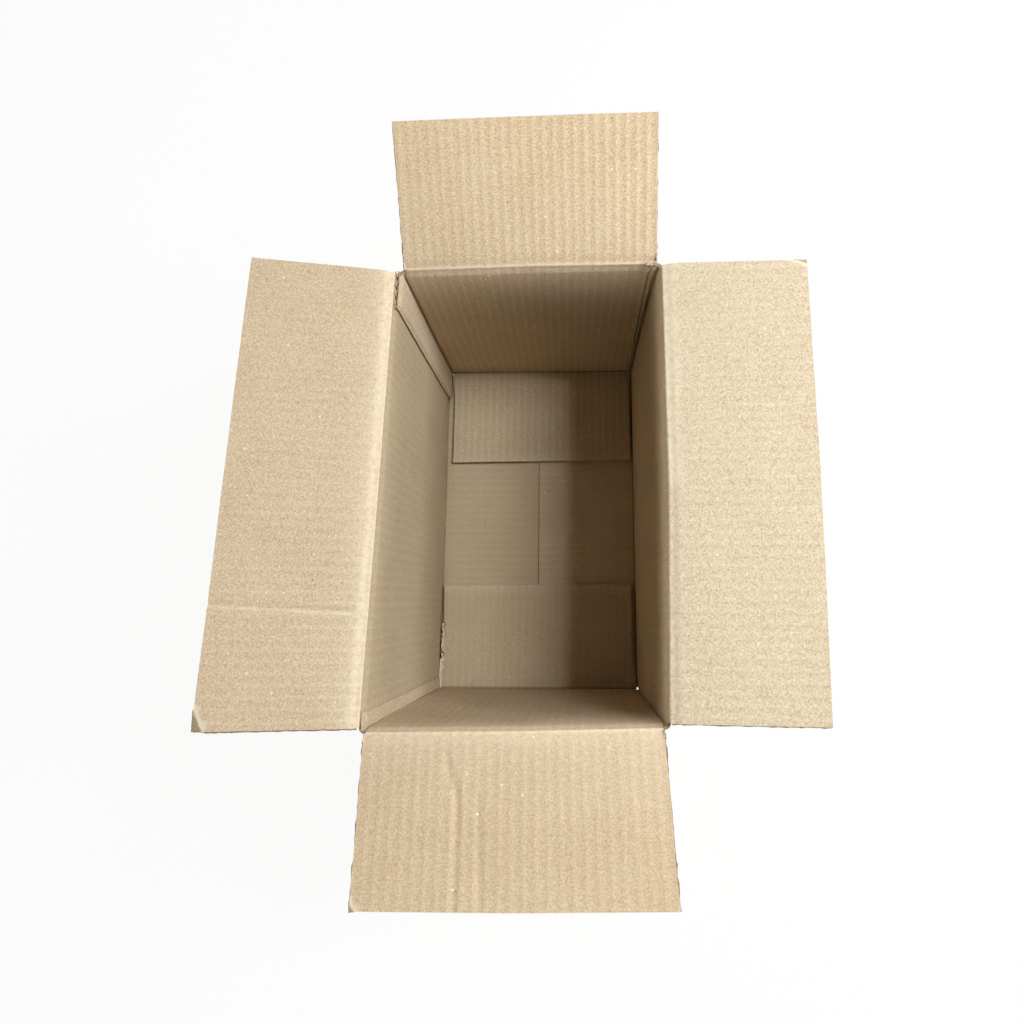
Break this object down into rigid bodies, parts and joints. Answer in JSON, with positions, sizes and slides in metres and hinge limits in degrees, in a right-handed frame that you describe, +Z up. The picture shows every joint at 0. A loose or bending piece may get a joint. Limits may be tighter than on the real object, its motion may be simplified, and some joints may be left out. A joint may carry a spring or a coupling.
{
  "type": "bottle shipping box",
  "caption": "Open slotted carton of single-wall corrugated kraft board, with hinged top flaps and a taped bottom.",
  "frame": {"origin": "middle of the underside, on the face that the box stands on", "axes": "+X across the width to the right, +Y along the length to the back, +Z up"},
  "size_m": [0.3481, 0.4526, 0.2273],
  "materials": {
    "kraft_board": "matte uncoated kraft",
    "packing_tape": "smooth buff film"
  },
  "bodies": {
    "box": {"box_body": "kraft_board", "bottom_tape": "packing_tape"},
    "flap_left": {"top_flap_left": "kraft_board"},
    "flap_right": {"top_flap_right": "kraft_board"},
    "flap_back": {"top_flap_back": "kraft_board"},
    "flap_front": {"top_flap_front": "kraft_board"}
  },
  "joints": [
    {"name": "left_flap_fold", "type": "hinge", "parent": "box", "child": "flap_left", "pos_m": [-0.088, 0, 0.19006], "axis": [0, 1, 0], "range_deg": [-95, 165]},
    {"name": "right_flap_fold", "type": "hinge", "parent": "box", "child": "flap_right", "pos_m": [0.088, 0, 0.19006], "axis": [0, -1, 0], "range_deg": [-84.5, 175.5]},
    {"name": "back_flap_fold", "type": "hinge", "parent": "box", "child": "flap_back", "pos_m": [0, 0.145, 0.18686], "axis": [1, 0, 0], "range_deg": [-105.5, 154.5]},
    {"name": "front_flap_fold", "type": "hinge", "parent": "box", "child": "flap_front", "pos_m": [0, -0.145, 0.18686], "axis": [-1, 0, 0], "range_deg": [-98, 162]}
  ]
}
